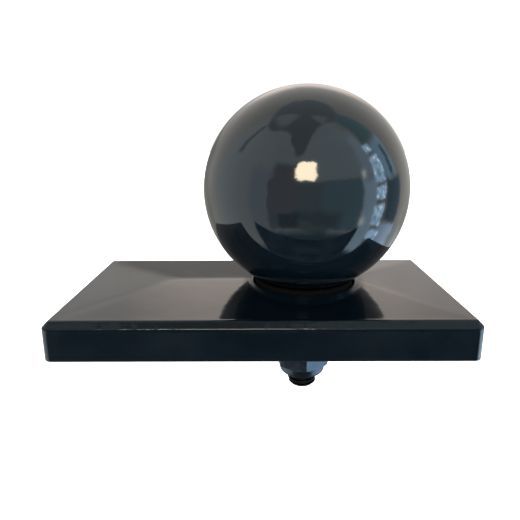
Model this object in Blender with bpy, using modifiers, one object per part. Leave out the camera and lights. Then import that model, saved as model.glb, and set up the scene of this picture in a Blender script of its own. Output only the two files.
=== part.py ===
"""Fence post cap with a ball finial.

A pressed sheet cap for a 120 x 60 mm rectangular post. A hollow ball stands
off-centre on the low hipped roof, in a pressed round seat. A threaded rod
runs from a bush in the ball down through the roof. A thin nut clamps the ball
to the cap, and a self-locking nut lower down pulls the whole cap onto a fixing
bar inside the post.

Frame: metres, +Z up. The origin is the middle of the post's top end, where
the post's rim bears inside the cap. +X runs along the cap's long side towards
the ball, and +Y across it.
"""
import bpy
import bmesh
import math
from mathutils import Vector

MM = 0.001

# ---------------------------------------------------------------- dimensions
# All in millimetres.
POST_LONG = 120.0          # outside of the post, long side
POST_SHORT = 60.0          # outside of the post, short side
FIT_PLAY = 1.0             # play between post and skirt, each side
SHEET = 1.5                # sheet thickness
CAP_LONG = POST_LONG + 2 * (FIT_PLAY + SHEET)
CAP_SHORT = POST_SHORT + 2 * (FIT_PLAY + SHEET)
EDGE_Z = 1.7               # height of the roof's outer edge over the post's end
ROOF_RISE = 2.3            # rise of the hipped roof from its edge to its ridge
SKIRT = 11.9               # skirt height below the roof's edge
EDGE_RADIUS = 2.3          # rounding of the skirt's corners and the roof's edge
SEAT_BAND = 3.0            # width of the flat band that bears on the post's rim

BALL_X = 14.1              # ball and stud axis, off the cap's middle
BALL_R = 33.0
BALL_Z = EDGE_Z + 32.9     # centre of the ball
BALL_WALL = 1.8
JOIN_GAP = 0.3             # clearance kept between neighbouring pieces

SEAT_FLOOR = EDGE_Z + 0.3  # top of the pressed seat's floor
SEAT_IN = 16.9             # inner radius of the seat's wall
SEAT_OUT = 18.5            # outer radius of the seat's wall
SEAT_RIM = EDGE_Z + 2.5    # crest of the seat's rim
FOOT_IN, FOOT_OUT = 10.0, 16.5   # the rubber ring under the ball
HOLE_R = 5.6               # hole for the stud

THREAD_R = 5.0             # M10
THREAD_PITCH = 1.5
BORE_R = THREAD_R + JOIN_GAP
STUD_TOP = 19.0
STUD_TIP = -34.95
STUD_CHAMFER = 0.9
BOSS_R = 9.0
BOSS_TOP = 21.0

CAP_WASHER_R, CAP_WASHER_T = 15.0, 2.5
SPRING_WASHER_R, SPRING_WASHER_T = 9.05, 2.2
SPRING_WASHER_SLIT = 1.4
JAM_NUT_AF, JAM_NUT_T = 17.0, 5.0
LOCK_NUT_AF = 16.75
LOCK_NUT_TOP = -20.1
LOCK_NUT_HEX = 6.95        # height of the hexagon
LOCK_NUT_ALL = 10.0        # height with the collar
COLLAR_R = 7.9
LOWER_WASHER_R, LOWER_WASHER_T = 10.0, 2.0
LOCK_NUT_CORNER = -86.0    # direction of one corner, degrees from +X

ROUND = 44                 # segments of a full turn

# Heights of the clamped stack, from the roof's underside down.
CAP_WASHER_TOP = SEAT_FLOOR - SHEET - JOIN_GAP
SPRING_WASHER_TOP = CAP_WASHER_TOP - CAP_WASHER_T - JOIN_GAP
JAM_NUT_TOP = SPRING_WASHER_TOP - SPRING_WASHER_T - JOIN_GAP
LOWER_WASHER_TOP = LOCK_NUT_TOP + JOIN_GAP + LOWER_WASHER_T

# ------------------------------------------------------------------- helpers
for old in list(bpy.data.objects):
    bpy.data.objects.remove(old, do_unlink=True)


def new_collection(name):
    coll = bpy.data.collections.new(name)
    bpy.context.scene.collection.children.link(coll)
    return coll


PARTS = new_collection("fence_post_cap")
CUTTERS = new_collection("cutters")


def material(name, colour, roughness, metallic):
    mat = bpy.data.materials.new(name)
    mat.use_nodes = True
    bsdf = mat.node_tree.nodes["Principled BSDF"]
    bsdf.inputs["Base Color"].default_value = (*colour, 1.0)
    bsdf.inputs["Roughness"].default_value = roughness
    bsdf.inputs["Metallic"].default_value = metallic
    return mat


def place(name, mesh, coll, mat=None, loc=(0.0, 0.0, 0.0), turn=0.0, parent=None):
    obj = bpy.data.objects.new(name, mesh)
    coll.objects.link(obj)
    obj.location = [c * MM for c in loc]
    obj.rotation_euler = (0.0, 0.0, math.radians(turn))
    if mat:
        mesh.materials.append(mat)
    if parent:
        obj.parent = parent
    if coll == CUTTERS:
        obj.hide_render = True
        obj.display_type = 'WIRE'
    return obj


def arc(cx, cz, r, a0, a1, n):
    """Points on an arc in the X-Z plane, angles in degrees from +X."""
    pts = []
    for i in range(n + 1):
        a = math.radians(a0 + (a1 - a0) * i / n)
        pts.append((cx + r * math.cos(a), cz + r * math.sin(a)))
    return pts


def turned(name, profile, coll, mat=None, closed=True, steps=ROUND, **kw):
    """A profile at +X, outer side running down, turned about Z."""
    verts = [(x * MM, 0.0, z * MM) for x, z in profile]
    edges = [(i, i + 1) for i in range(len(verts) - 1)]
    if closed:
        edges.append((len(verts) - 1, 0))
    mesh = bpy.data.meshes.new(name)
    mesh.from_pydata(verts, edges, [])
    obj = place(name, mesh, coll, mat, **kw)
    mod = obj.modifiers.new("turn", 'SCREW')
    mod.axis = 'Z'
    mod.angle = math.tau
    mod.steps = steps
    mod.render_steps = steps
    mod.use_merge_vertices = True
    mod.merge_threshold = 0.00001
    mod.use_smooth_shade = True
    return obj


def boolean(obj, other, operation='DIFFERENCE'):
    mod = obj.modifiers.new(operation.lower() + "_" + other.name, 'BOOLEAN')
    mod.operation = operation
    mod.solver = 'EXACT'
    mod.object = other
    return mod


def smooth(obj, angle=35.0):
    mesh = obj.data
    if mesh.polygons:
        mesh.shade_smooth()
        mesh.set_sharp_from_angle(angle=math.radians(angle))


def hip_block(name, long_x, short_y, z_low, z_edge, rise, coll, mat=None):
    """A block whose top is a hipped roof with 45 degree hips in plan."""
    bm = bmesh.new()
    bmesh.ops.create_cube(bm, size=1.0)
    bmesh.ops.scale(bm, vec=(long_x * MM, short_y * MM, (z_edge - z_low) * MM), verts=bm.verts)
    bmesh.ops.translate(bm, vec=(0, 0, (z_edge + z_low) / 2 * MM), verts=bm.verts)
    top = max(bm.faces, key=lambda f: f.calc_center_median().z)
    raised = bmesh.ops.extrude_face_region(bm, geom=[top])["geom"]
    bmesh.ops.delete(bm, geom=[top], context='FACES_ONLY')
    half_ridge = (long_x - short_y) / 2
    for vert in (g for g in raised if isinstance(g, bmesh.types.BMVert)):
        vert.co.x = math.copysign(half_ridge * MM, vert.co.x)
        vert.co.y = 0.0
        vert.co.z = (z_edge + rise) * MM
    bmesh.ops.remove_doubles(bm, verts=bm.verts, dist=0.000001)
    bmesh.ops.recalc_face_normals(bm, faces=bm.faces)
    mesh = bpy.data.meshes.new(name)
    bm.to_mesh(mesh)
    bm.free()
    return place(name, mesh, coll, mat)


def box(name, size, centre, coll, turn=(0.0, 0.0, 0.0)):
    bpy.ops.mesh.primitive_cube_add(size=1.0)
    obj = bpy.context.active_object
    obj.name = name
    for c in list(obj.users_collection):
        c.objects.unlink(obj)
    coll.objects.link(obj)
    for vert in obj.data.vertices:
        vert.co = Vector([vert.co[i] * size[i] * MM for i in range(3)])
    obj.location = [c * MM for c in centre]
    obj.rotation_euler = [math.radians(a) for a in turn]
    if coll == CUTTERS:
        obj.hide_render = True
        obj.display_type = 'WIRE'
    return obj


def hex_prism(name, across_flats, z_low, z_high, corner, coll, mat=None, parent=None, loc=(0, 0)):
    """A hexagonal prism with one corner pointing along the given direction."""
    bm = bmesh.new()
    radius = across_flats / 2 / math.cos(math.radians(30)) * MM
    bmesh.ops.create_cone(bm, cap_ends=True, segments=6, radius1=radius, radius2=radius,
                          depth=(z_high - z_low) * MM)
    bm.verts.ensure_lookup_table()
    corner_now = math.degrees(math.atan2(bm.verts[0].co.y, bm.verts[0].co.x))
    mesh = bpy.data.meshes.new(name)
    bm.to_mesh(mesh)
    bm.free()
    return place(name, mesh, coll, mat, loc=(loc[0], loc[1], (z_high + z_low) / 2),
                 turn=corner - corner_now, parent=parent)


# ----------------------------------------------------------------- materials
coat = (0.040, 0.047, 0.055)
mat_cap = material("cap_coat", coat, 0.18, 0.0)
mat_ball_up = material("ball_upper_coat", coat, 0.12, 0.0)
mat_ball_low = material("ball_lower_coat", coat, 0.12, 0.0)
mat_boss = material("boss_steel", (0.42, 0.42, 0.40), 0.45, 1.0)
mat_stud = material("stud_steel", (0.035, 0.037, 0.040), 0.35, 0.8)
mat_foot = material("foot_rubber", (0.010, 0.010, 0.011), 0.75, 0.0)
mat_cap_washer = material("cap_washer_zinc", (0.52, 0.53, 0.54), 0.35, 1.0)
mat_spring = material("spring_washer_zinc", (0.45, 0.45, 0.45), 0.38, 1.0)
mat_jam = material("jam_nut_zinc", (0.52, 0.53, 0.54), 0.33, 1.0)
mat_lower_washer = material("lower_washer_zinc", (0.50, 0.51, 0.52), 0.36, 1.0)
mat_lock = material("lock_nut_coat", (0.055, 0.062, 0.072), 0.30, 0.6)
mat_insert = material("insert_nylon", (0.030, 0.033, 0.045), 0.55, 0.0)

# ------------------------------------------------------------------ cap shell
cap = hip_block("cap_shell", CAP_LONG, CAP_SHORT, EDGE_Z - SKIRT, EDGE_Z, ROOF_RISE, PARTS, mat_cap)

# The skirt's four corners and the roof's outer edge are rounded.
weights = cap.data.attributes.new("bevel_weight_edge", 'FLOAT', 'EDGE')
for edge in cap.data.edges:
    a, b = (cap.data.vertices[i].co for i in edge.vertices)
    upright = abs(a.z - b.z) > 0.6 * SKIRT * MM
    rim = abs(a.z - EDGE_Z * MM) < 1e-6 and abs(b.z - EDGE_Z * MM) < 1e-6
    weights.data[edge.index].value = 1.0 if (upright or rim) else 0.0
bevel = cap.modifiers.new("edge_rounding", 'BEVEL')
bevel.limit_method = 'WEIGHT'
bevel.width = EDGE_RADIUS * MM
bevel.segments = 4
bevel.profile = 0.5

slope = ROOF_RISE / (CAP_SHORT / 2)
inner_long = CAP_LONG - 2 * SHEET
inner_short = CAP_SHORT - 2 * SHEET

# Room for the post's end, up to the flat band that bears on its rim.
room = box("post_room", (inner_long, inner_short, 2 * SKIRT), (0, 0, -SKIRT), CUTTERS)
round_room = room.modifiers.new("corner_rounding", 'BEVEL')
round_room.limit_method = 'ANGLE'
round_room.width = 0.6 * MM
round_room.segments = 2
boolean(cap, room)

# Inside the band the sheet follows the roof.
band = SHEET + SEAT_BAND
under_long = CAP_LONG - 2 * band
under_short = CAP_SHORT - 2 * band
under_edge = EDGE_Z + slope * band - SHEET / math.cos(math.atan(slope))
under = hip_block("roof_hollow", under_long, under_short, -2.0, under_edge,
                  slope * under_short / 2, CUTTERS)
boolean(cap, under)

# The pressed round seat: a flat floor, a wall and a raised rounded rim.
crest = (SEAT_OUT - SEAT_IN) / 2
seat_profile = []
seat_profile += arc((SEAT_IN + SEAT_OUT) / 2, SEAT_RIM - crest, crest, 180, 0, 8)
seat_profile += arc(SEAT_OUT - 1.0, SEAT_FLOOR - SHEET + 1.0, 1.0, 0, -90, 3)
seat_profile += [(HOLE_R, SEAT_FLOOR - SHEET), (HOLE_R, SEAT_FLOOR)]
seat_profile += arc(SEAT_IN - 0.7, SEAT_FLOOR + 0.7, 0.7, -90, -15, 3)
seat = turned("seat_press", seat_profile, CUTTERS, loc=(BALL_X, 0, 0))
drill_r = (SEAT_IN + SEAT_OUT) / 2
drill = turned("seat_drill", [(0, 12), (drill_r, 12), (drill_r, -12), (0, -12)], CUTTERS,
               closed=False, loc=(BALL_X, 0, 0))
boolean(cap, drill)
boolean(cap, seat, 'UNION')

# ----------------------------------------------------------------------- ball
ball_axis = bpy.data.objects.new("ball_axis", None)
ball_axis.location = (BALL_X * MM, 0.0, 0.0)
PARTS.objects.link(ball_axis)

inner_r = BALL_R - BALL_WALL
half_gap = JOIN_GAP / 2


def meridian(radius, polar0, polar1, n):
    """Points of the ball's outline, polar angles in degrees from the top."""
    return [(radius * math.sin(math.radians(polar0 + (polar1 - polar0) * i / n)),
             BALL_Z + radius * math.cos(math.radians(polar0 + (polar1 - polar0) * i / n)))
            for i in range(n + 1)]


def equator(radius):
    return math.degrees(math.acos(half_gap / radius))


upper = meridian(BALL_R, 0, equator(BALL_R), 11) + meridian(inner_r, equator(inner_r), 0, 8)
upper[0] = (0.0, upper[0][1])
upper[-1] = (0.0, upper[-1][1])
turned("ball_upper_shell", upper, PARTS, mat_ball_up, closed=False, parent=ball_axis)

bush_hole = BOSS_R + JOIN_GAP
hole_out = 180 - math.degrees(math.asin(bush_hole / BALL_R))
hole_in = 180 - math.degrees(math.asin(bush_hole / inner_r))
lower = meridian(BALL_R, 180 - equator(BALL_R), hole_out, 10)
lower += meridian(inner_r, hole_in, 180 - equator(inner_r), 8)
turned("ball_lower_shell", lower, PARTS, mat_ball_low, parent=ball_axis)

boss_foot = SEAT_FLOOR + JOIN_GAP
turned("ball_boss", [(BORE_R, BOSS_TOP), (BOSS_R - 0.8, BOSS_TOP), (BOSS_R, BOSS_TOP - 0.8),
                     (BOSS_R, boss_foot), (BORE_R, boss_foot)],
       PARTS, mat_boss, steps=32, parent=ball_axis)

turned("stud", [(0, STUD_TOP), (THREAD_R - STUD_CHAMFER, STUD_TOP), (THREAD_R, STUD_TOP - STUD_CHAMFER),
                (THREAD_R, STUD_TIP + STUD_CHAMFER), (THREAD_R - STUD_CHAMFER, STUD_TIP), (0, STUD_TIP)],
       PARTS, mat_stud, closed=False, steps=32, parent=ball_axis)

# The rubber ring under the ball: flat below, cupped to the ball above.
foot_low = SEAT_FLOOR + JOIN_GAP


def under_ball(r):
    """Height of the ring's cupped face at a radius."""
    clear = BALL_R + JOIN_GAP
    return BALL_Z - math.sqrt(clear * clear - r * r)


cup_r = [FOOT_IN + (FOOT_OUT - 1.3 - FOOT_IN) * i / 5 for i in range(6)]
foot_profile = [(r, under_ball(r)) for r in cup_r]
foot_profile += arc(FOOT_OUT - 1.0, under_ball(FOOT_OUT - 1.3) - 1.0, 1.0, 80, 0, 3)
foot_profile += [(FOOT_OUT, foot_low), (FOOT_IN, foot_low)]
turned("foot_ring", foot_profile, PARTS, mat_foot, steps=40, loc=(BALL_X, 0, 0))

# ------------------------------------------------------------- clamped stack
turned("cap_washer", [(BORE_R, CAP_WASHER_TOP), (CAP_WASHER_R - 0.4, CAP_WASHER_TOP),
                      (CAP_WASHER_R, CAP_WASHER_TOP - 0.4), (CAP_WASHER_R, CAP_WASHER_TOP - CAP_WASHER_T),
                      (BORE_R, CAP_WASHER_TOP - CAP_WASHER_T)],
       PARTS, mat_cap_washer, steps=36, parent=ball_axis)

spring = turned("spring_washer", [(BORE_R, SPRING_WASHER_TOP), (SPRING_WASHER_R, SPRING_WASHER_TOP),
                                  (SPRING_WASHER_R, SPRING_WASHER_TOP - SPRING_WASHER_T),
                                  (BORE_R, SPRING_WASHER_TOP - SPRING_WASHER_T)],
                PARTS, mat_spring, steps=32, parent=ball_axis)
slit_mid = (BORE_R + SPRING_WASHER_R) / 2
slit_dir = math.radians(40)
slit = box("spring_slit", (8.0, SPRING_WASHER_SLIT, 12.0),
           (BALL_X + slit_mid * math.cos(slit_dir), slit_mid * math.sin(slit_dir),
            SPRING_WASHER_TOP - SPRING_WASHER_T / 2), CUTTERS, turn=(25, 0, 40))
boolean(spring, slit)


def chamfer_body(name, corner_r, flat_r, z_low, z_high, both=True):
    """The turned shape whose overlap with a hexagon leaves chamfered corners."""
    drop = (corner_r - flat_r) * math.tan(math.radians(30))
    pts = [(0, z_high), (flat_r, z_high), (corner_r + 0.3, z_high - drop)]
    if both:
        pts += [(corner_r + 0.3, z_low + drop), (flat_r, z_low), (0, z_low)]
    else:
        pts += [(corner_r + 0.3, z_low), (0, z_low)]
    return turned(name, pts, CUTTERS, closed=False, steps=36, loc=(BALL_X, 0, 0))


def bore_cutter(name, profile):
    return turned(name, profile, CUTTERS, closed=False, steps=32, loc=(BALL_X, 0, 0))


jam_low = JAM_NUT_TOP - JAM_NUT_T
jam = hex_prism("jam_nut", JAM_NUT_AF, jam_low, JAM_NUT_TOP, 12.0, PARTS, mat_jam, parent=ball_axis)
jam_corner = JAM_NUT_AF / 2 / math.cos(math.radians(30))
boolean(jam, chamfer_body("jam_chamfer", jam_corner, JAM_NUT_AF / 2 - 0.3, jam_low, JAM_NUT_TOP), 'INTERSECT')
boolean(jam, bore_cutter("jam_bore", [(0, JAM_NUT_TOP + 1), (BORE_R, JAM_NUT_TOP + 1),
                                      (BORE_R, jam_low - 1), (0, jam_low - 1)]))

# ------------------------------------------------- self-locking nut and washer
nut_axis = bpy.data.objects.new("lock_nut_axis", None)
nut_axis.location = (BALL_X * MM, 0.0, 0.0)
PARTS.objects.link(nut_axis)

turned("lower_washer", [(BORE_R, LOWER_WASHER_TOP), (LOWER_WASHER_R - 0.3, LOWER_WASHER_TOP),
                        (LOWER_WASHER_R, LOWER_WASHER_TOP - 0.3),
                        (LOWER_WASHER_R, LOWER_WASHER_TOP - LOWER_WASHER_T),
                        (BORE_R, LOWER_WASHER_TOP - LOWER_WASHER_T)],
       PARTS, mat_lower_washer, steps=36, loc=(BALL_X, 0, 0))

hex_low = LOCK_NUT_TOP - LOCK_NUT_HEX
nut_low = LOCK_NUT_TOP - LOCK_NUT_ALL
lock = hex_prism("lock_nut_body", LOCK_NUT_AF, hex_low, LOCK_NUT_TOP, LOCK_NUT_CORNER, PARTS, mat_lock,
                 parent=nut_axis)
lock_corner = LOCK_NUT_AF / 2 / math.cos(math.radians(30))
boolean(lock, chamfer_body("lock_chamfer", lock_corner, LOCK_NUT_AF / 2 - 0.2, hex_low, LOCK_NUT_TOP),
        'INTERSECT')

lip_r = 5.9
groove_r = 6.9
collar_round = 1.5
collar_profile = [(0, LOCK_NUT_TOP - 3.0), (COLLAR_R, LOCK_NUT_TOP - 3.0)]
collar_profile += arc(COLLAR_R - collar_round, nut_low + collar_round, collar_round, 0, -90, 5)
collar_profile += [(0, nut_low)]
collar = turned("lock_collar", collar_profile, CUTTERS, closed=False, steps=36, loc=(BALL_X, 0, 0))
boolean(lock, collar, 'UNION')
boolean(lock, bore_cutter("lock_bore", [(0, LOCK_NUT_TOP + 1), (BORE_R, LOCK_NUT_TOP + 1),
                                        (BORE_R, hex_low - 0.2), (groove_r, hex_low - 0.2),
                                        (groove_r, nut_low + 0.7), (lip_r, nut_low + 0.7),
                                        (lip_r, nut_low - 1), (0, nut_low - 1)]))

turned("lock_nut_insert", [(BORE_R, hex_low - 0.5), (groove_r - JOIN_GAP, hex_low - 0.5),
                           (groove_r - JOIN_GAP, nut_low + 1.0), (BORE_R, nut_low + 1.0)],
       PARTS, mat_insert, steps=32, parent=nut_axis)

for part in PARTS.objects:
    if part.type == 'MESH':
        smooth(part)
bpy.context.view_layer.update()
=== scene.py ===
import bpy
import math
import numpy as np
from mathutils import Matrix, Vector


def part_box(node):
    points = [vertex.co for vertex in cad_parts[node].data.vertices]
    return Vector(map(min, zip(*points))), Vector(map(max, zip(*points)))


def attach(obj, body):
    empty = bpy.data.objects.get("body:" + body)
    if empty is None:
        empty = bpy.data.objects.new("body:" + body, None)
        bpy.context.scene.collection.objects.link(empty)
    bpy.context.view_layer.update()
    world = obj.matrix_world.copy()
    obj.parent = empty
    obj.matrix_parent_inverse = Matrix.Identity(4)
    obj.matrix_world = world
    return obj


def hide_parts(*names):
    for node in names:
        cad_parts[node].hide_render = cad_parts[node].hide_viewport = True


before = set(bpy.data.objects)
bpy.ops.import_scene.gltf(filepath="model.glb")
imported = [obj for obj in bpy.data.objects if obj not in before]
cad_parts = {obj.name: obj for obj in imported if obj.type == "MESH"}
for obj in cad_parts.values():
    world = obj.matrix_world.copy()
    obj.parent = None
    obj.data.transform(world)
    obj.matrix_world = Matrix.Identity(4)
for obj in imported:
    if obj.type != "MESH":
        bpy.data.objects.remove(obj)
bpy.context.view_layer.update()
CAD_OBJECTS = set(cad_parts.values())

MM = 0.001


def mm_box(node):
    low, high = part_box(node)
    return [c / MM for c in low], [c / MM for c in high]


# ------------------------------------------------------------- sizes, from CAD
cap_lo, cap_hi = mm_box("cap_shell")
ball_lo, ball_hi = mm_box("ball_upper_shell")
low_lo, low_hi = mm_box("ball_lower_shell")
stud_lo, stud_hi = mm_box("stud")
foot_lo, foot_hi = mm_box("foot_ring")
boss_lo, boss_hi = mm_box("ball_boss")
nut_lo, nut_hi = mm_box("lock_nut_body")
ins_lo, ins_hi = mm_box("lock_nut_insert")
jam_lo, jam_hi = mm_box("jam_nut")

HX = (cap_hi[0] - cap_lo[0]) / 2
HY = (cap_hi[1] - cap_lo[1]) / 2
SHEET = 1.5
EDGE_Z = 1.7
RISE = 2.3
BOTTOM = cap_lo[2]
CREST_Z = cap_hi[2]
CREST_R = 17.75
FLOOR_Z = 2.0
HOLE_R = 5.6
BX = (stud_lo[0] + stud_hi[0]) / 2
BALL_R = (low_hi[0] - low_lo[0]) / 2
BALL_Z = ball_hi[2] - BALL_R

EDGE_R = 2.3       # rounding between roof and skirt
PLAN_R = 2.3       # rounding of the skirt's upright corners, in plan


# ------------------------------------------------------------------- materials
def new_material(name):
    mat = bpy.data.materials.new(name)
    mat.use_nodes = True
    tree = mat.node_tree
    return mat, tree, tree.nodes["Principled BSDF"]


def node(tree, kind, **inputs):
    made = tree.nodes.new(kind)
    for key, value in inputs.items():
        if key.startswith("p_"):
            setattr(made, key[2:], value)
        else:
            made.inputs[key.replace("_", " ")].default_value = value
    return made


def noise_node(tree, coord, scale, detail=3.0, rough=0.5, distortion=0.0):
    n = tree.nodes.new("ShaderNodeTexNoise")
    n.inputs["Scale"].default_value = scale
    n.inputs["Detail"].default_value = detail
    n.inputs["Roughness"].default_value = rough
    n.inputs["Distortion"].default_value = distortion
    tree.links.new(coord, n.inputs["Vector"])
    return n


def remap(tree, value, a, b, c, d):
    m = tree.nodes.new("ShaderNodeMapRange")
    m.inputs["From Min"].default_value = a
    m.inputs["From Max"].default_value = b
    m.inputs["To Min"].default_value = c
    m.inputs["To Max"].default_value = d
    tree.links.new(value, m.inputs["Value"])
    return m.outputs["Result"]


def ramp(tree, value, stops):
    r = tree.nodes.new("ShaderNodeValToRGB")
    el = r.color_ramp.elements
    while len(el) < len(stops):
        el.new(0.5)
    for e, (pos, col) in zip(el, stops):
        e.position = pos
        e.color = (*col, 1.0)
    tree.links.new(value, r.inputs["Fac"])
    return r.outputs["Color"]


def bump(tree, height, strength, distance, normal=None):
    b = tree.nodes.new("ShaderNodeBump")
    b.inputs["Strength"].default_value = strength
    b.inputs["Distance"].default_value = distance
    tree.links.new(height, b.inputs["Height"])
    if normal is not None:
        tree.links.new(normal, b.inputs["Normal"])
    return b.outputs["Normal"]


def coat_material(name, rough=0.07, peel=1.0, tint=(0.0009, 0.0028, 0.0050)):
    """Stoved gloss coat: nearly black blue-grey, with orange peel and faint dust."""
    mat, tree, bsdf = new_material(name)
    coord = tree.nodes.new("ShaderNodeTexCoord").outputs["Object"]
    cloud = noise_node(tree, coord, 45.0, 4.0, 0.6)
    dark = tuple(c * 0.82 for c in tint)
    light = tuple(c * 1.22 for c in tint)
    base = ramp(tree, cloud.outputs["Fac"], [(0.3, dark), (0.7, light)])
    tree.links.new(base, bsdf.inputs["Base Color"])
    smear = noise_node(tree, coord, 120.0, 5.0, 0.65, 0.4)
    tree.links.new(remap(tree, smear.outputs["Fac"], 0.3, 0.75, rough * 0.7, rough * 1.7),
                   bsdf.inputs["Roughness"])
    bsdf.inputs["Metallic"].default_value = 0.0
    bsdf.inputs["IOR"].default_value = 1.5
    waves = noise_node(tree, coord, 150.0, 1.5, 0.4)
    peel_noise = noise_node(tree, coord, 620.0, 2.0, 0.5)
    n1 = bump(tree, waves.outputs["Fac"], 1.0, 0.000045 * peel)
    n2 = bump(tree, peel_noise.outputs["Fac"], 1.0, 0.0000085 * peel, n1)
    tree.links.new(n2, bsdf.inputs["Normal"])
    return mat


def metal_material(name, dark, light, rough_lo, rough_hi, scale=700.0, metallic=1.0, bump_mm=0.004, stretch=(1, 1, 1)):
    mat, tree, bsdf = new_material(name)
    coord = tree.nodes.new("ShaderNodeTexCoord").outputs["Object"]
    mapping = tree.nodes.new("ShaderNodeMapping")
    mapping.inputs["Scale"].default_value = stretch
    tree.links.new(coord, mapping.inputs["Vector"])
    vec = mapping.outputs["Vector"]
    patch = noise_node(tree, vec, scale * 0.25, 4.0, 0.6)
    grain = noise_node(tree, vec, scale, 3.0, 0.6)
    tree.links.new(ramp(tree, patch.outputs["Fac"], [(0.32, dark), (0.68, light)]), bsdf.inputs["Base Color"])
    tree.links.new(remap(tree, grain.outputs["Fac"], 0.3, 0.7, rough_lo, rough_hi), bsdf.inputs["Roughness"])
    bsdf.inputs["Metallic"].default_value = metallic
    tree.links.new(bump(tree, grain.outputs["Fac"], 1.0, bump_mm * MM), bsdf.inputs["Normal"])
    return mat


def rubber_material(name):
    mat, tree, bsdf = new_material(name)
    coord = tree.nodes.new("ShaderNodeTexCoord").outputs["Object"]
    speck = noise_node(tree, coord, 1600.0, 3.0, 0.6)
    tree.links.new(ramp(tree, speck.outputs["Fac"], [(0.3, (0.0016, 0.0016, 0.0018)), (0.75, (0.0045, 0.0045, 0.0045))]),
                   bsdf.inputs["Base Color"])
    tree.links.new(remap(tree, speck.outputs["Fac"], 0.3, 0.7, 0.75, 0.95), bsdf.inputs["Roughness"])
    bsdf.inputs["Specular IOR Level"].default_value = 0.02
    tree.links.new(bump(tree, speck.outputs["Fac"], 1.0, 0.000012), bsdf.inputs["Normal"])
    return mat


def nylon_material(name):
    mat, tree, bsdf = new_material(name)
    coord = tree.nodes.new("ShaderNodeTexCoord").outputs["Object"]
    soft = noise_node(tree, coord, 500.0, 3.0, 0.55)
    tree.links.new(ramp(tree, soft.outputs["Fac"], [(0.3, (0.020, 0.024, 0.036)), (0.7, (0.040, 0.046, 0.062))]),
                   bsdf.inputs["Base Color"])
    tree.links.new(remap(tree, soft.outputs["Fac"], 0.3, 0.7, 0.38, 0.58), bsdf.inputs["Roughness"])
    tree.links.new(bump(tree, soft.outputs["Fac"], 1.0, 0.00001), bsdf.inputs["Normal"])
    return mat


MAT_CAP = coat_material("cap_gloss_coat", 0.07, 1.0)


def edge_ripple_and_shade(mat):
    """The coat lies in ripples over the rounded long edges. This also paints shade: the gloss is turned down on the
    rolled edge and round the ball's seat.
    """
    tree = mat.node_tree
    bsdf = tree.nodes["Principled BSDF"]
    coord = tree.nodes.new("ShaderNodeTexCoord").outputs["Object"]
    sep = tree.nodes.new("ShaderNodeSeparateXYZ")
    tree.links.new(coord, sep.inputs[0])
    size = tree.nodes.new("ShaderNodeMath")
    size.operation = 'ABSOLUTE'
    tree.links.new(sep.outputs["Y"], size.inputs[0])
    near = remap(tree, size.outputs[0], HY * MM - 0.0026, HY * MM - 0.0012, 0.0, 1.0)
    above = remap(tree, sep.outputs["Z"], -0.0012, -0.0004, 0.0, 1.0)
    mask = tree.nodes.new("ShaderNodeMath")
    mask.operation = 'MULTIPLY'
    tree.links.new(near, mask.inputs[0])
    tree.links.new(above, mask.inputs[1])
    ripple = noise_node(tree, coord, 210.0, 2.0, 0.5)
    high = tree.nodes.new("ShaderNodeMath")
    high.operation = 'MULTIPLY'
    tree.links.new(mask.outputs[0], high.inputs[0])
    tree.links.new(ripple.outputs["Fac"], high.inputs[1])
    before = bsdf.inputs["Normal"].links[0].from_socket
    tree.links.new(bump(tree, high.outputs[0], 1.0, 0.00030, before), bsdf.inputs["Normal"])
    # painted shade: on the rolled edge and round the ball's seat a weak-gloss shader is mixed in, so these zones
    # reflect less and look darker
    flat = tree.nodes.new("ShaderNodeVectorMath")
    flat.operation = 'MULTIPLY'
    flat.inputs[1].default_value = (1.0, 1.0, 0.0)
    tree.links.new(coord, flat.inputs[0])
    away = tree.nodes.new("ShaderNodeVectorMath")
    away.operation = 'DISTANCE'
    away.inputs[1].default_value = (BX * MM, 0.0, 0.0)
    tree.links.new(flat.outputs["Vector"], away.inputs[0])
    # painted shade: a ring round the ball's seat where the gloss is dimmed
    seat_shade = remap(tree, away.outputs["Value"], 0.0192, 0.0212, 0.62, 0.0)
    edge = tree.nodes.new("ShaderNodeMath")
    edge.operation = 'MULTIPLY'
    edge.inputs[1].default_value = 0.80
    tree.links.new(mask.outputs[0], edge.inputs[0])
    painted_shade = tree.nodes.new("ShaderNodeMath")
    painted_shade.operation = 'MAXIMUM'
    tree.links.new(seat_shade, painted_shade.inputs[0])
    tree.links.new(edge.outputs[0], painted_shade.inputs[1])
    # the weak-gloss shader that paints the shade
    shade_bsdf = tree.nodes.new("ShaderNodeBsdfPrincipled")
    shade_bsdf.inputs["Specular IOR Level"].default_value = 0.12
    shade_bsdf.inputs["Roughness"].default_value = 0.20
    tree.links.new(bsdf.inputs["Base Color"].links[0].from_socket, shade_bsdf.inputs["Base Color"])
    tree.links.new(bsdf.inputs["Normal"].links[0].from_socket, shade_bsdf.inputs["Normal"])
    mix = tree.nodes.new("ShaderNodeMixShader")
    tree.links.new(painted_shade.outputs[0], mix.inputs[0])
    tree.links.new(bsdf.outputs[0], mix.inputs[1])
    tree.links.new(shade_bsdf.outputs[0], mix.inputs[2])
    out = [n for n in tree.nodes if n.type == 'OUTPUT_MATERIAL'][0]
    tree.links.new(mix.outputs[0], out.inputs["Surface"])


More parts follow.
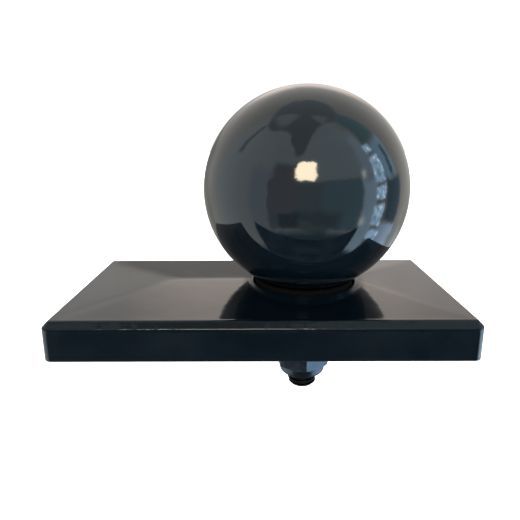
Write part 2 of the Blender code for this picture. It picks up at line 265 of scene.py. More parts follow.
edge_ripple_and_shade(MAT_CAP)
MAT_BALL = coat_material("ball_gloss_coat", 0.055, 0.8)
MAT_NUT = metal_material("black_zinc_nut", (0.040, 0.050, 0.064), (0.066, 0.080, 0.098), 0.24, 0.42)
MAT_STUD = metal_material("black_zinc_stud", (0.008, 0.009, 0.011), (0.022, 0.024, 0.028), 0.28, 0.48)
MAT_WASHER = metal_material("black_zinc_washer", (0.040, 0.048, 0.060), (0.070, 0.080, 0.095), 0.25, 0.42)
MAT_ZINC = metal_material("bright_zinc", (0.46, 0.47, 0.48), (0.62, 0.62, 0.60), 0.22, 0.42)
MAT_ZINC_JAM = metal_material("bright_zinc_nut", (0.44, 0.45, 0.46), (0.60, 0.60, 0.57), 0.25, 0.45)
MAT_STEEL = metal_material("turned_steel", (0.30, 0.30, 0.29), (0.45, 0.44, 0.42), 0.28, 0.5, stretch=(1, 1, 8))
MAT_RUBBER = rubber_material("foot_rubber")
MAT_NYLON = nylon_material("locking_nylon")


# ------------------------------------------------------------------ mesh makers
def piece(name, verts, faces, mat, body, replaces=None, smooth_angle=40.0):
    mesh = bpy.data.meshes.new(name)
    mesh.from_pydata([tuple(float(c) * MM for c in v) for v in verts], [], faces)
    mesh.validate()
    mesh.update()
    mesh.materials.append(mat)
    obj = bpy.data.objects.new(name, mesh)
    bpy.context.scene.collection.objects.link(obj)
    mesh.shade_smooth()
    if smooth_angle is not None:
        mesh.set_sharp_from_angle(angle=math.radians(smooth_angle))
    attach(obj, body)
    if replaces:
        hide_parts(*replaces)
    return obj


def revolve(profile, segs, centre=(0.0, 0.0), closed=True, radial=None):
    """Turns a profile of (r, z). A closed profile makes a ring; an open one must start and end on the axis."""
    verts, faces = [], []
    pts = list(profile)
    rows = []
    for r, z in pts:
        if r < 1e-6:
            rows.append([len(verts)])
            verts.append((centre[0], centre[1], z))
            continue
        row = []
        for j in range(segs):
            a = math.tau * j / segs
            rr = r if radial is None else radial(r, z, a)
            row.append(len(verts))
            verts.append((centre[0] + rr * math.cos(a), centre[1] + rr * math.sin(a), z))
        rows.append(row)
    pairs = list(zip(rows, rows[1:])) + ([(rows[-1], rows[0])] if closed else [])
    for top, bot in pairs:
        for j in range(segs):
            k = (j + 1) % segs
            if len(top) == 1 and len(bot) == 1:
                continue
            if len(top) == 1:
                faces.append((top[0], bot[j], bot[k]))
            elif len(bot) == 1:
                faces.append((top[j], bot[0], top[k]))
            else:
                faces.append((top[j], bot[j], bot[k], top[k]))
    return verts, faces


def arc(cx, cz, r, a0, a1, n):
    return [(cx + r * math.cos(math.radians(a0 + (a1 - a0) * i / n)),
             cz + r * math.sin(math.radians(a0 + (a1 - a0) * i / n))) for i in range(n + 1)]


# ----------------------------------------------------------------- the cap shell
def smin(a, b, k):
    h = np.clip(0.5 + 0.5 * (b - a) / k, 0.0, 1.0)
    return b * (1 - h) + a * h - k * h * (1 - h)


def smax(a, b, k):
    return -smin(-a, -b, k)


def softplus(t, c):
    return 0.5 * (t + np.sqrt(t * t + c * c))


def roof_rise(x, y):
    """Height of the hipped roof over its edge: hips soft on the left, crisper on the right."""
    right = 1.0 / (1.0 + np.exp(-(x - 5.0) / 8.0))
    k = 5.0 * (1 - right) + 1.6 * right
    ay = np.sqrt(y * y + 0.9 ** 2) - 0.15
    d = smin(HX - np.abs(x), HY - ay, k)
    t = d - EDGE_R
    return RISE / (HY - EDGE_R - 0.55) * softplus(t, 1.6)


def outer_z(x, y):
    r = np.hypot(x - BX, y)
    roof = EDGE_Z + roof_rise(x, y)
    rim_out = CREST_Z - 0.06 - 0.60 * (np.sqrt((r - CREST_R) ** 2 + 0.15 ** 2) - 0.15)
    rim_in = CREST_Z - 0.06 - (r - CREST_R) ** 2 / (2 * 0.55)
    outside = smax(roof, rim_out, 0.35)
    inside = smax(np.full_like(r, FLOOR_Z), rim_in, 0.5)
    return np.where(r >= CREST_R, outside, inside)


def under_z(x, y):
    r = np.hypot(x - BX, y)
    plane = EDGE_Z + roof_rise(x, y) - SHEET * 1.003
    d = np.minimum(HX - SHEET - np.abs(x), HY - SHEET - np.abs(y))
    s = np.clip((d - 2.8) / 0.5, 0, 1)
    s = s * s * (3 - 2 * s)
    z = plane * s
    cup = 0.5 + np.where(r > 17.5, 1.0 - np.sqrt(np.clip(1.0 - (r - 17.5) ** 2, 0, 1)), 0.0)
    cup = np.where(r > 18.49, 50.0, cup)
    return np.minimum(z, cup)


SQ = 24.0
MS = 44
EDGE_STEPS = [0.0, 0.26, 0.51, 0.77, 1.02, 1.28, 1.53, 1.79, 2.04, 2.3, 2.6, 3.0, 3.6, 4.4, 5.4, 6.6]
CIRCLE = 22.6
RADII = ([HOLE_R, 6.0, 7.5, 10.0, 12.5, 14.5, 15.4, 15.8, 16.1, 16.4, 16.7, 16.95, 17.15] +
         [17.35, 17.5, 17.62, 17.7] + [CREST_R + 0.045 * i for i in range(13)] +
         [18.4, 18.6, 18.9, 19.2, 19.5, 19.8, 20.1, 20.4, 20.7, 21.0, 21.3, 21.7, 22.1, CIRCLE])
MORPH = 4


def lines(low, high, sq_low, sq_high):
    """Grid lines: fine at both edges, even across the square that holds the seat."""
    a = [low + e for e in EDGE_STEPS if low + e < sq_low - 0.9]
    n = max(1, int(round((sq_low - a[-1]) / 1.9)))
    a += [a[-1] + (sq_low - a[-1]) * i / n for i in range(1, n)]
    mid = [sq_low + (sq_high - sq_low) * i / MS for i in range(MS + 1)]
    b = [high - e for e in EDGE_STEPS if high - e > sq_high + 0.9][::-1]
    m = max(1, int(round((b[0] - sq_high) / 1.9)))
    c = [sq_high + (b[0] - sq_high) * i / m for i in range(1, m)]
    return np.array(a + mid + c + b), len(a)


def edge_profile(t):
    """The roof's turned-down edge: a wide bend, a short slope and a tight bend into the skirt. Returns (set-back, drop)."""
    if t < 0.4:
        u = t / 0.4
        a, b, c = (2.3, 0.0), (1.8, 0.0), (1.45, 0.35)
    elif t < 0.6:
        u = (t - 0.4) / 0.2
        return 1.45 - 1.17 * u, 0.35 + 1.17 * u
    else:
        u = (t - 0.6) / 0.4
        a, b, c = (0.28, 1.52), (0.0, 1.80), (0.0, 2.05)
    return tuple((1 - u) ** 2 * a[k] + 2 * u * (1 - u) * b[k] + u * u * c[k] for k in range(2))


def sheet(verts, faces, hx, hy, plan_r, edge_r, z_edge, zfun, fold, up=True):
    """One face of the cap's top. fold -1: the border rolls down (outside); +1: it rolls down inside, as a fillet.
    Returns the outer perimeter and the hole's loop as vertex indices, counter-clockwise from above."""
    shift = HX - hx
    xs, i0 = lines(-HX, HX, BX - SQ, BX + SQ)
    ys, j0 = lines(-HY, HY, -SQ, SQ)
    xs = np.where(np.arange(len(xs)) < i0, xs + shift * np.clip((BX - SQ - xs) / (BX - SQ + HX), 0, 1), xs)
    xs = np.where(xs > BX + SQ, xs - shift * np.clip((xs - BX - SQ) / (HX - BX - SQ), 0, 1), xs)
    ys = np.where(ys < -SQ, ys + (HY - hy) * (-SQ - ys) / (HY - SQ), ys)
    ys = np.where(ys > SQ, ys - (HY - hy) * (ys - SQ) / (HY - SQ), ys)

    def put(x, y):
        """Square grid position to its place on the sheet."""
        px = np.clip(x, -(hx - plan_r), hx - plan_r)
        py = np.clip(y, -(hy - plan_r), hy - plan_r)
        vx, vy = x - px, y - py
        length = math.hypot(vx, vy)
        if length < 1e-9:
            return x, y, float(zfun(np.array([x]), np.array([y]))[0])
        m = max(abs(vx), abs(vy)) / plan_r
        nx, ny = vx / length, vy / length
        off = plan_r * (1 - m)
        drop = 0.0
        if off < edge_r:
            if fold < 0:
                off, drop = edge_profile(0.5 * (1 - off / edge_r))
            else:
                psi = (1 - off / edge_r) * math.radians(45)
                off = edge_r * (1 - math.sin(psi))
                drop = edge_r * (1 - math.cos(psi))
        fx, fy = px + (plan_r - off) * nx, py + (plan_r - off) * ny
        return fx, fy, float(zfun(np.array([fx]), np.array([fy]))[0]) - drop

    grid = {}
    for i in range(len(xs)):
        for j in range(len(ys)):
            if i0 < i < i0 + MS and j0 < j < j0 + MS:
                continue
            grid[i, j] = len(verts)
            verts.append(put(xs[i], ys[j]))
    for i in range(len(xs) - 1):
        for j in range(len(ys) - 1):
            if i0 <= i < i0 + MS and j0 <= j < j0 + MS:
                continue
            q = (grid[i, j], grid[i + 1, j], grid[i + 1, j + 1], grid[i, j + 1])
            faces.append(q if up else q[::-1])
    # ring of the square, counter-clockwise from its lower right corner
    ring = [(i0 + MS, j0 + t) for t in range(MS)] + [(i0 + MS - t, j0 + MS) for t in range(MS)]
    ring += [(i0, j0 + MS - t) for t in range(MS)] + [(i0 + t, j0) for t in range(MS)]
    n = len(ring)
    angles = [math.radians(-45 + 360.0 * k / n) for k in range(n)]
    prev = [grid[g] for g in ring]
    square = [(xs[i], ys[j]) for i, j in ring]
    for step in range(1, MORPH + len(RADII)):
        row = []
        for k in range(n):
            ca, sa = math.cos(angles[k]), math.sin(angles[k])
            if step < MORPH:
                f = step / MORPH
                x = square[k][0] * (1 - f) + (BX + CIRCLE * ca) * f
                y = square[k][1] * (1 - f) + CIRCLE * sa * f
            else:
                r = RADII[len(RADII) - 1 - (step - MORPH)]
                x, y = BX + r * ca, r * sa
            row.append(len(verts))
            verts.append((x, y, float(zfun(np.array([x]), np.array([y]))[0])))
        for k in range(n):
            m = (k + 1) % n
            q = (prev[k], prev[m], row[m], row[k])
            faces.append(q if up else q[::-1])
        prev = row
    last_i, last_j = len(xs) - 1, len(ys) - 1
    per = [(last_i, j) for j in range(last_j)] + [(last_i - i, last_j) for i in range(last_i)]
    per += [(0, last_j - j) for j in range(last_j)] + [(i, 0) for i in range(last_i)]
    base = [(xs[i], ys[j]) for i, j in per]
    return [grid[p] for p in per], prev, base


def loop_at(verts, base, hx, hy, plan_r, off, z, bow=0.0):
    """A rounded-rectangle loop, set in from the outline by off."""
    row = []
    for x, y in base:
        px = min(max(x, -(hx - plan_r)), hx - plan_r)
        py = min(max(y, -(hy - plan_r)), hy - plan_r)
        vx, vy = x - px, y - py
        length = math.hypot(vx, vy)
        nx, ny = vx / length, vy / length
        rr = plan_r - off
        zz = z(px) if callable(z) else z
        row.append(len(verts))
        verts.append((px + rr * nx, py + rr * ny, zz))
    return row


def bridge(faces, a, b):
    """Quads between two loops that run counter-clockwise; b lies below a on an outward wall."""
    n = len(a)
    for k in range(n):
        m = (k + 1) % n
        faces.append((a[k], b[k], b[m], a[m]))


def build_cap():
    verts, faces = [], []
    outer_per, outer_hole, base_o = sheet(verts, faces, HX, HY, PLAN_R, EDGE_R, EDGE_Z, outer_z, -1, True)
    prev = outer_per
    for i in range(1, 11):
        off, drop = edge_profile(0.5 + 0.05 * i)
        row = loop_at(verts, base_o, HX, HY, PLAN_R, off, EDGE_Z - drop)
        bridge(faces, prev, row)
        prev = row
    low_r = 0.45
    for z in (-1.2, -2.6, -4.2, -6.0, -7.6, -8.9, BOTTOM + low_r):
        row = loop_at(verts, base_o, HX, HY, PLAN_R, 0.0, z)
        bridge(faces, prev, row)
        prev = row
    for i in range(1, 5):
        a = math.radians(22.5 * i)
        row = loop_at(verts, base_o, HX, HY, PLAN_R, low_r * (1 - math.cos(a)), BOTTOM + low_r * (1 - math.sin(a)))
        bridge(faces, prev, row)
        prev = row
    hx, hy = HX - SHEET, HY - SHEET
    plan_in = 0.8
    inner_r = 0.5
    under_per, under_hole, base_u = sheet(verts, faces, hx, hy, plan_in, inner_r, 0.0, under_z, 1, False)
    in_r = 0.3
    for i in range(0, 4):
        a = math.radians(30 * i)
        row = loop_at(verts, base_u, hx, hy, plan_in, in_r * (math.sin(a) - 1), BOTTOM + in_r * (1 - math.cos(a)))
        bridge(faces, prev, row)
        prev = row
    for z in (-7.0, -4.0, -1.5, -inner_r):
        row = loop_at(verts, base_u, hx, hy, plan_in, 0.0, z)
        bridge(faces, prev, row)
        prev = row
    for i in range(1, 4):
        psi = math.radians(90 - 11.25 * i)
        row = loop_at(verts, base_u, hx, hy, plan_in, inner_r * (1 - math.sin(psi)), -inner_r * (1 - math.cos(psi)))
        bridge(faces, prev, row)
        prev = row
    bridge(faces, prev, under_per)
    # the hole's wall
    n = len(outer_hole)
    for k in range(n):
        m = (k + 1) % n
        faces.append((outer_hole[k], outer_hole[m], under_hole[m], under_hole[k]))
    return verts, faces


verts, faces = build_cap()
cap = piece("cap_skin", verts, faces, MAT_CAP, "cap", ["cap_shell"], 50)

# ---------------------------------------------------------------------- the ball
INNER_R = BALL_R - 1.8
hole_r = 9.3


def ball_profile():
    pts = [(0.0, BALL_Z + BALL_R)]
    a_out = 180 - math.degrees(math.asin(hole_r / BALL_R))
    n = 120
    pts += [(BALL_R * math.sin(math.radians(a_out * i / n)), BALL_Z + BALL_R * math.cos(math.radians(a_out * i / n)))
            for i in range(1, n + 1)]
    a_in = 180 - math.degrees(math.asin(hole_r / INNER_R))
    m = 40
    pts += [(INNER_R * math.sin(math.radians(a_in * (m - i) / m)), BALL_Z + INNER_R * math.cos(math.radians(a_in * (m - i) / m)))
            for i in range(m)]
    pts += [(0.0, BALL_Z + INNER_R)]
    return pts


verts, faces = revolve(ball_profile(), 192, (BX, 0.0), closed=False)
ball = piece("ball_skin", verts, faces, MAT_BALL, "ball", ["ball_upper_shell", "ball_lower_shell"], 50)

# --------------------------------------------------------------------- foot ring
foot_out = (foot_hi[0] - foot_lo[0]) / 2
foot_in = 10.0


def under_ball(r):
    clear = BALL_R + 0.22
    return BALL_Z - math.sqrt(clear * clear - r * r)


rim_r = foot_out - 1.2
profile = [(foot_in + 0.3 + (rim_r - foot_in - 0.3) * i / 10, under_ball(foot_in + 0.3 + (rim_r - foot_in - 0.3) * i / 10)) for i in range(11)]
top_z = profile[-1][1]
profile += arc(foot_out - 1.0, top_z - 1.0 + 0.02, 1.0, 72, 0, 8)
profile += arc(foot_out - 0.4, foot_lo[2] + 0.4, 0.4, 0, -90, 4)
profile += arc(foot_in + 0.3, foot_lo[2] + 0.3, 0.3, -90, -180, 4)
verts, faces = revolve(profile, 160, (BX, 0.0))
piece("foot_ring_rubber", verts, faces, MAT_RUBBER, "cap", ["foot_ring"])

# ------------------------------------------------------------------ threaded stud
PITCH = 1.5
CREST = 4.97
ROOT = 4.10


def thread(z, a, grow=0.0):
    """Radius of the rod's thread at a height and angle: right-hand, with rounded crests and roots."""
    u = (z / PITCH - a / math.tau) % 1.0
    d = abs(u - 0.5) * 2                     # 1 at the root's middle, 0 at the crest's
    t = min(max((d - 0.14) / 0.60, 0.0), 1.0)
    t = t * t * (3 - 2 * t) * 0.35 + t * 0.65
    return CREST - (CREST - ROOT) * t + grow


def build_stud():
    z_top, z_low = stud_hi[2], stud_lo[2]
    chamfer = 1.0
    segs = 64
    rows_z = list(np.arange(z_low + 0.05, z_top - 0.05, 0.1))
    verts, faces, rows = [], [], []

    def ring(z, fun):
        row = []
        for j in range(segs):
            a = math.tau * j / segs
            r = fun(z, a)
            row.append(len(verts))
            verts.append((BX + r * math.cos(a), r * math.sin(a), z))
        return row

    def limited(z, a):
        end = min(z_top - z, z - z_low)
        return min(thread(z, a), 4.02 + end * (CREST - 4.02) / chamfer) if end < chamfer + 0.3 else thread(z, a)

    rows.append(ring(z_top, lambda z, a: 3.7))
    rows.append(ring(z_top, lambda z, a: 4.0))
    for z in rows_z[::-1]:
        rows.append(ring(z, limited))
    rows.append(ring(z_low, lambda z, a: 4.0))
    rows.append(ring(z_low, lambda z, a: 3.7))
    for top, bot in zip(rows, rows[1:]):
        for j in range(segs):
            k = (j + 1) % segs
            faces.append((top[j], bot[j], bot[k], top[k]))
    for row, z, up in ((rows[0], z_top, True), (rows[-1], z_low, False)):
        inner = []
        for j in range(segs):
            a = math.tau * j / segs
            inner.append(len(verts))
            verts.append((BX + 2.0 * math.cos(a), 2.0 * math.sin(a), z - (0.12 if up else -0.12)))
        c = len(verts)
        verts.append((BX, 0.0, z - (0.2 if up else -0.2)))
        for j in range(segs):
            k = (j + 1) % segs
            q = (inner[j], row[j], row[k], inner[k])
            t = (c, inner[j], inner[k])
            faces.append(q if up else q[::-1])
            faces.append(t if up else t[::-1])
    return verts, faces


verts, faces = build_stud()
piece("stud_threaded", verts, faces, MAT_STUD, "ball", ["stud"], 60)


# --------------------------------------------------------------------------- nuts
def hex_radius(a, af, corner, soft=0.35):
    """Radius of a hexagon with slightly rounded corners at an angle in degrees."""
    u = (a - corner + 30.0) % 60.0 - 30.0       # 0 at a corner
    flat = 30.0 - abs(u)                        # degrees from the nearest flat's middle
    r = (af / 2) / math.cos(math.radians(flat))
    full = (af / 2) / math.cos(math.radians(30))
    cap_r = full - soft * 0.155
    return min(r, cap_r - (soft * 0.0) if r > cap_r else r)


def hex_angles(corner, per=16):
    """Angles round a hexagon, gathered at its corners, in degrees, ascending."""
    out = []
    for s in range(6):
        c = corner + 60 * s
        for t in [0.0, 0.9, 2.2, 4.0, 6.5, 9.5, 13.0, 17.0, 21.0, 25.5, 30.0]:
            out.append(c + t)
        for t in [34.5, 39.0, 43.0, 47.0, 50.5, 53.5, 56.0, 57.8, 59.1]:
            out.append(c + t)
    return out


def build_nut(af, corner, z_low, z_top, flat_r, collar=None):
    """A chamfered hexagon nut with a real internal thread; collar = (radius, low z, rounding, groove, lip, lip depth)."""
    angles = hex_angles(corner)
    n = len(angles)
    verts, faces, rows = [], [], []
    grow = 0.13

    def ring(fun):
        row = []
        for a in angles:
            r, z = fun(a)
            row.append(len(verts))
            verts.append((BX + r * math.cos(math.radians(a)), r * math.sin(math.radians(a)), z))
        rows.append(row)

    rc = (af / 2) / math.cos(math.radians(30))
    tan30 = math.tan(math.radians(30))
    # top face, from the thread's countersink outwards
    ring(lambda a: (5.35, z_top))
    ring(lambda a: (6.4, z_top))
    ring(lambda a: (flat_r - 0.15, z_top))
    ring(lambda a: (flat_r, z_top - 0.03))

    def chamfer_top(f):
        def fun(a):
            rh = hex_radius(a, af, corner)
            r = flat_r + (max(rh, flat_r + 0.02) - flat_r) * f
            return r, z_top - 0.03 - max(rh - flat_r, 0.02) * tan30 * f
        return fun

    ring(chamfer_top(0.5))
    ring(chamfer_top(0.93))

    def wall(f):
        def fun(a):
            rh = hex_radius(a, af, corner)
            edge = 0.05 + max(rh - flat_r, 0.02) * tan30
            return rh, (z_top - edge - 0.06) * (1 - f) + (z_low + edge + 0.06) * f
        return fun

    for f in (0.0, 0.02, 0.25, 0.5, 0.75, 0.98, 1.0):
        ring(wall(f))

    def chamfer_low(f):
        def fun(a):
            rh = hex_radius(a, af, corner)
            r = flat_r + (max(rh, flat_r + 0.02) - flat_r) * f
            return r, z_low + 0.03 + max(rh - flat_r, 0.02) * tan30 * f
        return fun

    ring(chamfer_low(0.93))
    ring(chamfer_low(0.5))
    ring(lambda a: (flat_r, z_low + 0.03))
    if collar:
        cr, cz, rnd, groove, lip, lip_t = collar
        ring(lambda a: (cr + 0.25, z_low))
        ring(lambda a: (cr + 0.04, z_low - 0.08))
        ring(lambda a: (cr, z_low - 0.25))
        for i in range(0, 10):
            t = math.radians(-9 * i)
            ring(lambda a, t=t: (cr - rnd + rnd * math.cos(t), cz + rnd + rnd * math.sin(t)))
        ring(lambda a: (lip + 0.12, cz))
        ring(lambda a: (lip, cz + 0.12))
        ring(lambda a: (lip, cz + lip_t))
        ring(lambda a: (groove, cz + lip_t))
        ring(lambda a: (groove, z_low - 0.2))
        ring(lambda a: (5.45, z_low - 0.2))
        bore_low = z_low - 0.2
    else:
        ring(lambda a: (flat_r - 0.15, z_low))
        ring(lambda a: (6.4, z_low))
        ring(lambda a: (5.35, z_low))
        bore_low = z_low
    # threaded bore, bottom to top, opened out at both ends
    steps = int((z_top - bore_low) / 0.1)
    for i in range(1, steps):
        z = bore_low + (z_top - bore_low) * i / steps

        def bore(a, z=z):
            r = thread(z, math.radians(a), grow)
            end = min(z - bore_low, z_top - z)
            if end < 0.7:
                r = max(r, 5.35 - end * 1.2)
            return r, z
        ring(bore)
    for k in range(len(rows)):
        a, b = rows[k], rows[(k + 1) % len(rows)]
        for j in range(n):
            m = (j + 1) % n
            faces.append((a[j], b[j], b[m], a[m]))
    return verts, faces


verts, faces = build_nut(16.75, -86.0, nut_hi[2] - 6.95, nut_hi[2], 16.75 / 2 - 0.25,
                         (7.9, nut_lo[2], 1.5, 6.9, 5.9, 0.6))
piece("lock_nut", verts, faces, MAT_NUT, "lock_nut", ["lock_nut_body"], 28)
verts, faces = build_nut(17.0, 12.0, jam_lo[2], jam_hi[2], 17.0 / 2 - 0.35)
piece("jam_nut_fine", verts, faces, MAT_ZINC_JAM, "ball", ["jam_nut"], 28)

# locking ring: a plain nylon ring with a smooth bore
ins_out = (ins_hi[0] - ins_lo[0]) / 2
prof = [(5.12, ins_hi[2]), (ins_out - 0.15, ins_hi[2]), (ins_out, ins_hi[2] - 0.15), (ins_out, ins_lo[2] + 0.15),
        (ins_out - 0.15, ins_lo[2]), (5.3, ins_lo[2]), (5.12, ins_lo[2] + 0.12)]
verts, faces = revolve(prof, 96, (BX, 0.0))
piece("locking_ring", verts, faces, MAT_NYLON, "lock_nut", ["lock_nut_insert"], 40)


# ------------------------------------------------------------------------ washers
def washer(name, cad, bore, soft, mat, body):
    lo, hi = mm_box(cad)
    out = (hi[0] - lo[0]) / 2
    prof = [(bore + 0.12, hi[2])]
    prof += arc(out - soft, hi[2] - soft, soft, 90, 0, 6)
    prof += arc(out - 0.12, lo[2] + 0.12, 0.12, 0, -90, 3)
    prof += [(bore + 0.08, lo[2]), (bore, lo[2] + 0.08), (bore, hi[2] - 0.12)]
    verts, faces = revolve(prof, 128, (BX, 0.0))
    return piece(name, verts, faces, mat, body, [cad], 35)


washer("cap_washer_fine", "cap_washer", 5.3, 0.35, MAT_ZINC, "ball")
washer("lower_washer_fine", "lower_washer", 5.3, 0.3, MAT_WASHER, "washer")


def build_spring_washer():
    lo, hi = mm_box("spring_washer")
    out = (hi[1] - lo[1]) / 2
    inn = 5.3
    mid = (inn + out) / 2
    z0, z1 = lo[2], hi[2]
    c = 0.22
    section = [(inn + c, z1), (out - c, z1), (out, z1 - c), (out, z0 + c), (out - c, z0), (inn + c, z0), (inn, z0 + c), (inn, z1 - c)]
    slit_dir = math.radians(40)
    segs = 120
    verts, faces, rows = [], [], []
    half = 0.7 / mid
    for j in range(segs + 1):
        row = []
        for r, z in section:
            lean = (z - (z0 + z1) / 2) * math.tan(math.radians(25)) / r
            edge = 0.0
            f = j / segs
            a0 = slit_dir + half * mid / r + lean
            a1 = slit_dir + math.tau - half * mid / r + lean
            a = a0 + (a1 - a0) * f
            row.append(len(verts))
            verts.append((BX + r * math.cos(a), r * math.sin(a), z))
        rows.append(row)
    m = len(section)
    for j in range(segs):
        for i in range(m):
            k = (i + 1) % m
            faces.append((rows[j][i], rows[j][k], rows[j + 1][k], rows[j + 1][i]))
    faces.append(tuple(rows[0][::-1]))
    faces.append(tuple(rows[-1]))
    return verts, faces


verts, faces = build_spring_washer()
piece("spring_washer_fine", verts, faces, MAT_ZINC, "ball", ["spring_washer"], 30)

# the bush is hidden in the ball and keeps its CAD shape
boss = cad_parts["ball_boss"]
boss.data.materials.clear()
boss.data.materials.append(MAT_STEEL)

# outward faces everywhere
import bmesh
for obj in [o for o in bpy.context.scene.objects if o.type == "MESH" and o not in CAD_OBJECTS]:
    bm = bmesh.new()
    bm.from_mesh(obj.data)
    bmesh.ops.recalc_face_normals(bm, faces=bm.faces)
    bm.to_mesh(obj.data)
    bm.free()

# -------------------------------------------------------------------------- floor
floor_mesh = bpy.data.meshes.new("floor")
size = 6.0
fz = -0.26
floor_mesh.from_pydata([(-size, -size, fz), (size, -size, fz), (size, size, fz), (-size, size, fz)], [], [(0, 1, 2, 3)])
floor = bpy.data.objects.new("floor", floor_mesh)
bpy.context.scene.collection.objects.link(floor)
fmat, ftree, fb = new_material("floor_paper")
fcoord = ftree.nodes.new("ShaderNodeTexCoord").outputs["Object"]
fn = noise_node(ftree, fcoord, 3.0, 3.0, 0.5)
ftree.links.new(ramp(ftree, fn.outputs["Fac"], [(0.3, (0.86, 0.86, 0.855)), (0.7, (0.9, 0.9, 0.895))]), fb.inputs["Base Color"])
fb.inputs["Roughness"].default_value = 0.9
fb.inputs["Specular IOR Level"].default_value = 0.0
fb.inputs["Emission Color"].default_value = (1.0, 1.0, 1.0, 1.0)
fb.inputs["Emission Strength"].default_value = 0.9
floor_mesh.materials.append(fmat)
floor.visible_glossy = False

# A dark flag below the camera, as a product photographer sets one: only the gloss sees it. It glows dimly, painted
# light standing in for the room light falling on the card.
flag_mesh = bpy.data.meshes.new("dark_flag")
flag_mesh.from_pydata([(-0.092, -0.073, -0.6), (0.096, -0.073, -0.6), (0.096, -0.073, -0.0185), (-0.092, -0.073, -0.0185)], [], [(0, 1, 2, 3)])
flag = bpy.data.objects.new("dark_flag", flag_mesh)
bpy.context.scene.collection.objects.link(flag)
gmat, gtree, gb = new_material("flag_dim_glow")
gcoord = gtree.nodes.new("ShaderNodeTexCoord").outputs["Object"]
gn = noise_node(gtree, gcoord, 30.0, 4.0, 0.6)
# painted light: the flag's dim, mottled glow
gtree.links.new(ramp(gtree, gn.outputs["Fac"], [(0.35, (0.03, 0.05, 0.07)), (0.65, (0.16, 0.19, 0.22))]), gb.inputs["Emission Color"])
gb.inputs["Emission Strength"].default_value = 1.0
gb.inputs["Base Color"].default_value = (0.01, 0.01, 0.01, 1.0)
gb.inputs["Roughness"].default_value = 1.0
gb.inputs["Specular IOR Level"].default_value = 0.0
flag_mesh.materials.append(gmat)
flag.visible_camera = False
flag.visible_diffuse = False
flag.visible_shadow = False
flag.visible_transmission = False

# ------------------------------------------------------------------------- camera
F_PX, PITCH_D, ROLL_D, YAW_D = 466.6, 13.55, -0.25, 0.23
CAM = (-0.1, -152.8, 52.7 + EDGE_Z)
PP_Y = 240.0
th, ph, ps = (math.radians(v) for v in (PITCH_D, ROLL_D, YAW_D))
right0 = Vector((math.cos(ps), math.sin(ps), 0))
level = Vector((-math.sin(ps), math.cos(ps), 0))
forward = level * math.cos(th) - Vector((0, 0, 1)) * math.sin(th)
up0 = level * math.sin(th) + Vector((0, 0, 1)) * math.cos(th)
right = right0 * math.cos(ph) + up0 * math.sin(ph)
up = up0 * math.cos(ph) - right0 * math.sin(ph)
cam_data = bpy.data.cameras.new("camera")
cam = bpy.data.objects.new("camera", cam_data)
bpy.context.scene.collection.objects.link(cam)
rot = Matrix((right, up, -forward)).transposed()
cam.matrix_world = Matrix.Translation(Vector(CAM) * MM) @ rot.to_4x4()
cam_data.sensor_fit = 'HORIZONTAL'
cam_data.sensor_width = 36.0
cam_data.lens = F_PX / 520.0 * 36.0
cam_data.shift_y = (PP_Y - 260.0) / 520.0
cam_data.clip_start = 0.005
cam_data.clip_end = 50.0
cam_data.dof.use_dof = False
bpy.context.scene.camera = cam

# -------------------------------------------------------------------------- world
# A plain room lit from a window on the right and a lamp above the camera: every part is an angle range, in degrees,
# round the object (azimuth 0 is towards the camera, 90 to the right) and above its horizon.
world = bpy.data.worlds.new("studio")
bpy.context.scene.world = world
world.use_nodes = True
wt = world.node_tree
wt.nodes.clear()


class Num:
    """A number made by the world's nodes."""

    def __init__(self, socket):
        self.s = socket

    def _op(self, kind, other=None, flip=False):
        n = wt.nodes.new("ShaderNodeMath")
        n.operation = kind
        order = [self, other] if not flip else [other, self]
        for k, v in enumerate(order):
            if v is None:
                continue
            if isinstance(v, Num):
                wt.links.new(v.s, n.inputs[k])
            else:
                n.inputs[k].default_value = v
        return Num(n.outputs[0])

    def __add__(self, o): return self._op("ADD", o)
    def __radd__(self, o): return self._op("ADD", o)
    def __sub__(self, o): return self._op("SUBTRACT", o)
    def __rsub__(self, o): return self._op("SUBTRACT", o, True)
    def __mul__(self, o): return self._op("MULTIPLY", o)
    def __rmul__(self, o): return self._op("MULTIPLY", o)
    def absolute(self): return self._op("ABSOLUTE")


def step(value, edge, soft):
    """0 below the edge, 1 above it; edge may be a Num."""
    d = value - edge
    n = wt.nodes.new("ShaderNodeMapRange")
    n.interpolation_type = 'SMOOTHSTEP'
    n.inputs["From Min"].default_value = -soft / 2
    n.inputs["From Max"].default_value = soft / 2
    wt.links.new(d.s, n.inputs["Value"])
    return Num(n.outputs["Result"])


def span(value, low, high, soft):
    return step(value, low, soft) * (1.0 - step(value, high, soft))


def bump_at(value, centre, width):
    """A smooth bump of height 1 round a value."""
    d = (value - centre) * (1.0 / width)
    return (d * d * -1.0)._op("EXPONENT")


direction = wt.nodes.new("ShaderNodeTexCoord").outputs["Generated"]
sep = wt.nodes.new("ShaderNodeSeparateXYZ")
wt.links.new(direction, sep.inputs[0])
dx, dy, dz = (Num(sep.outputs[k]) for k in range(3))


def field(scale, detail=2.0):
    n = noise_node(wt, direction, scale, detail, 0.5)
    return Num(n.outputs["Fac"]) - 0.5


DEG = 180.0 / math.pi
az_raw = dx._op("ARCTAN2", dy * -1.0) * DEG
el_raw = dz._op("ARCSINE") * DEG
wob1, wob2, wob3 = field(5.0), field(7.5), field(22.0, 3.0)
az = az_raw + wob1 * 6.0 + wob3 * 3.0
el = el_raw + wob2 * 6.0 + wob3 * 3.0

state = None


